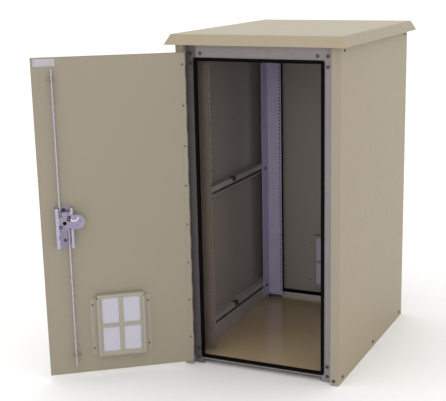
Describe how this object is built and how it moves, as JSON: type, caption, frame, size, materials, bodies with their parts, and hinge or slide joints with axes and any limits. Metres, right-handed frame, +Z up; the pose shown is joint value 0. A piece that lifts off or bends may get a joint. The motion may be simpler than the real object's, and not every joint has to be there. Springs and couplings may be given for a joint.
{
  "type": "outdoor battery cabinet",
  "caption": "Outdoor battery cabinet with front and rear doors, three-point locks, vent filters, rack rails and an overhanging roof.",
  "frame": {"origin": "centre of the cabinet's footprint on the ground", "axes": "+Z up, -Y out of the front door, +X to the right seen from the front; the doors are hinged on the -X side"},
  "size_m": [1.0714, 1.2667, 1.29],
  "materials": {
    "tan_paint": "fine textured tan powder coat, satin",
    "floor_paint": "smooth tan enamel, semi gloss",
    "frame_aluminium": "grey mauve chromate on aluminium, matt",
    "rail_zinc": "zinc plated, slightly blue, satin",
    "zinc_fastener": "zinc plated, satin",
    "painted_fastener": "tan painted screw heads",
    "stainless_steel": "stainless hinge stock, satin",
    "zinc_plate": "bright zinc plate with pressed edges",
    "handle_metal": "cast zinc, satin chrome",
    "filter_media": "white non woven filter mat",
    "black_rubber": "matt EPDM",
    "blank_label": "blank pale label"
  },
  "bodies": {
    "cabinet_body": {"corner_gussets": "frame_aluminium", "floor_channels": "rail_zinc", "floor_pan": "floor_paint", "frame_screws": "zinc_fastener", "front_door_seal": "black_rubber", "front_header": "frame_aluminium", "front_hinge_frame_leaf": "stainless_steel", "front_left_rack_rail": "rail_zinc", "front_left_upright": "frame_aluminium", "front_right_rack_rail": "rail_zinc", "front_right_upright": "frame_aluminium", "front_sill": "frame_aluminium", "hinge_pins": "stainless_steel", "left_base_rail": "frame_aluminium", "left_mid_rail": "frame_aluminium", "left_side_panel": "tan_paint", "panel_screws": "painted_fastener", "rail_hardware": "zinc_fastener", "rear_door_seal": "black_rubber", "rear_header": "frame_aluminium", "rear_hinge_frame_leaf": "stainless_steel", "rear_left_rack_rail": "rail_zinc", "rear_left_upright": "frame_aluminium", "rear_right_rack_rail": "rail_zinc", "rear_right_upright": "frame_aluminium", "rear_sill": "frame_aluminium", "right_base_rail": "frame_aluminium", "right_mid_rail": "frame_aluminium", "right_side_panel": "tan_paint", "roof_canopy": "tan_paint", "top_panel": "tan_paint"},
    "front_door": {"front_door_skin": "tan_paint", "front_door_liner": "tan_paint", "front_hinge_door_leaf": "tan_paint", "front_door_fasteners": "zinc_fastener", "front_lock_housing": "zinc_plate", "front_rod_guides": "tan_paint", "front_filter_channels": "tan_paint", "front_handle_plate": "zinc_plate", "label_plate": "blank_label"},
    "front_handle": {"front_lever_handle": "handle_metal", "front_latch_cam": "zinc_plate"},
    "front_upper_rod": {"front_upper_lock_rod": "zinc_plate"},
    "front_lower_rod": {"front_lower_lock_rod": "zinc_plate"},
    "front_filter": {"front_filter_frame": "tan_paint", "front_filter_media": "filter_media"},
    "rear_door": {"rear_door_skin": "tan_paint", "rear_door_liner": "tan_paint", "rear_hinge_door_leaf": "tan_paint", "rear_door_fasteners": "zinc_fastener", "rear_lock_housing": "zinc_plate", "rear_rod_guides": "tan_paint", "rear_filter_channels": "tan_paint", "rear_handle_plate": "zinc_plate"},
    "rear_handle": {"rear_lever_handle": "handle_metal", "rear_latch_cam": "zinc_plate"},
    "rear_upper_rod": {"rear_upper_lock_rod": "zinc_plate"},
    "rear_lower_rod": {"rear_lower_lock_rod": "zinc_plate"},
    "rear_filter": {"rear_filter_frame": "tan_paint", "rear_filter_media": "filter_media"}
  },
  "joints": [
    {"name": "front_door_hinge", "type": "hinge", "parent": "cabinet_body", "child": "front_door", "pos_m": [-0.2805, -0.437, 0.63], "axis": [0, 0, 1], "range_deg": [-27.5, 142.5]},
    {"name": "rear_door_hinge", "type": "hinge", "parent": "cabinet_body", "child": "rear_door", "pos_m": [-0.2805, 0.437, 0.63], "axis": [0, 0, 1], "range_deg": [0, 170]},
    {"name": "front_handle_turn", "type": "hinge", "parent": "front_door", "child": "front_handle", "pos_m": [-0.64438, -0.73764, 0.6225], "axis": [-0.6088, 0.7934, 0], "range_deg": [0, 90]},
    {"name": "front_upper_rod_pivot", "type": "hinge", "parent": "front_handle", "child": "front_upper_rod", "pos_m": [-0.65588, -0.74647, 0.608], "axis": [-0.6088, 0.7934, 0], "range_deg": [-90, 0]},
    {"name": "front_lower_rod_pivot", "type": "hinge", "parent": "front_handle", "child": "front_lower_rod", "pos_m": [-0.63287, -0.72881, 0.637], "axis": [-0.6088, 0.7934, 0], "range_deg": [-90, 0]},
    {"name": "front_filter_lift", "type": "slide", "parent": "front_door", "child": "front_filter", "axis": [0, 0, 1], "range_m": [0, 0.22]},
    {"name": "rear_handle_turn", "type": "hinge", "parent": "rear_door", "child": "rear_handle", "pos_m": [0.1912, 0.42, 0.6225], "axis": [0, -1, 0], "range_deg": [0, 90]},
    {"name": "rear_upper_rod_pivot", "type": "hinge", "parent": "rear_handle", "child": "rear_upper_rod", "pos_m": [0.2057, 0.42, 0.608], "axis": [0, -1, 0], "range_deg": [-90, 0]},
    {"name": "rear_lower_rod_pivot", "type": "hinge", "parent": "rear_handle", "child": "rear_lower_rod", "pos_m": [0.1767, 0.42, 0.637], "axis": [0, -1, 0], "range_deg": [-90, 0]},
    {"name": "rear_filter_lift", "type": "slide", "parent": "rear_door", "child": "rear_filter", "axis": [0, 0, 1], "range_m": [0, 0.22]}
  ],
  "couplings": [
    {"joint": "front_upper_rod_pivot", "follows": "front_handle_turn", "ratio": -1},
    {"joint": "front_lower_rod_pivot", "follows": "front_handle_turn", "ratio": -1},
    {"joint": "rear_upper_rod_pivot", "follows": "rear_handle_turn", "ratio": -1},
    {"joint": "rear_lower_rod_pivot", "follows": "rear_handle_turn", "ratio": -1}
  ]
}
